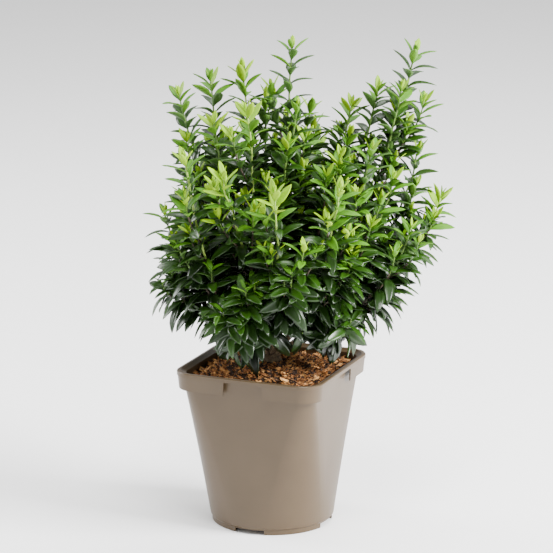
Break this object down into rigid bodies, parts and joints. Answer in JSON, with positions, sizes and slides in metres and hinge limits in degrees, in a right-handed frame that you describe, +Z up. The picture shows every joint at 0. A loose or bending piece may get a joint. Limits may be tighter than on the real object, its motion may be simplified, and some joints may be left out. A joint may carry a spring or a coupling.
{
  "type": "potted japanese spindle shrub",
  "caption": "Young upright evergreen shrub with narrow leaves in opposite pairs on many slender stems, lime at the tips, in a square-topped taupe nursery pot filled with bark mix.",
  "frame": {"origin": "on the pot's axis, on the level surface that the pot stands on, at the middle of its underside", "axes": "+Z up; -Y towards the wide pot face seen in the picture, +X towards the lit side face"},
  "size_m": [0.3172, 0.2675, 0.5184],
  "materials": {
    "pot_plastic": "satin moulded",
    "growing_mix": "loose bark and coir, matt",
    "stem_bark": "thin smooth bark",
    "foliage": "glossy leathery leaves"
  },
  "bodies": {
    "root": {"bough_back_left": "stem_bark", "bough_back_left_side": "stem_bark", "bough_back_low": "stem_bark", "bough_back_middle": "stem_bark", "bough_back_right_low": "stem_bark", "bough_back_tall": "stem_bark", "bough_centre": "stem_bark", "bough_front_left": "stem_bark", "bough_front_left_inner": "stem_bark", "bough_front_low": "stem_bark", "bough_front_middle": "stem_bark", "bough_front_right": "stem_bark", "bough_left_middle": "stem_bark", "bough_left_side": "stem_bark", "bough_left_tall": "stem_bark", "bough_right_back": "stem_bark", "bough_right_front": "stem_bark", "bough_right_inner": "stem_bark", "bough_right_low": "stem_bark", "bough_right_middle": "stem_bark", "bough_right_outer": "stem_bark", "bough_right_tall": "stem_bark", "foliage_back_left": "foliage", "foliage_back_left_side": "foliage", "foliage_back_low": "foliage", "foliage_back_middle": "foliage", "foliage_back_right_low": "foliage", "foliage_back_tall": "foliage", "foliage_centre": "foliage", "foliage_front_left": "foliage", "foliage_front_left_inner": "foliage", "foliage_front_low": "foliage", "foliage_front_middle": "foliage", "foliage_front_right": "foliage", "foliage_left_middle": "foliage", "foliage_left_side": "foliage", "foliage_left_tall": "foliage", "foliage_right_back": "foliage", "foliage_right_front": "foliage", "foliage_right_inner": "foliage", "foliage_right_low": "foliage", "foliage_right_middle": "foliage", "foliage_right_outer": "foliage", "foliage_right_tall": "foliage", "growing_mix": "growing_mix", "main_stem": "stem_bark", "pot": "pot_plastic"}
  },
  "joints": []
}
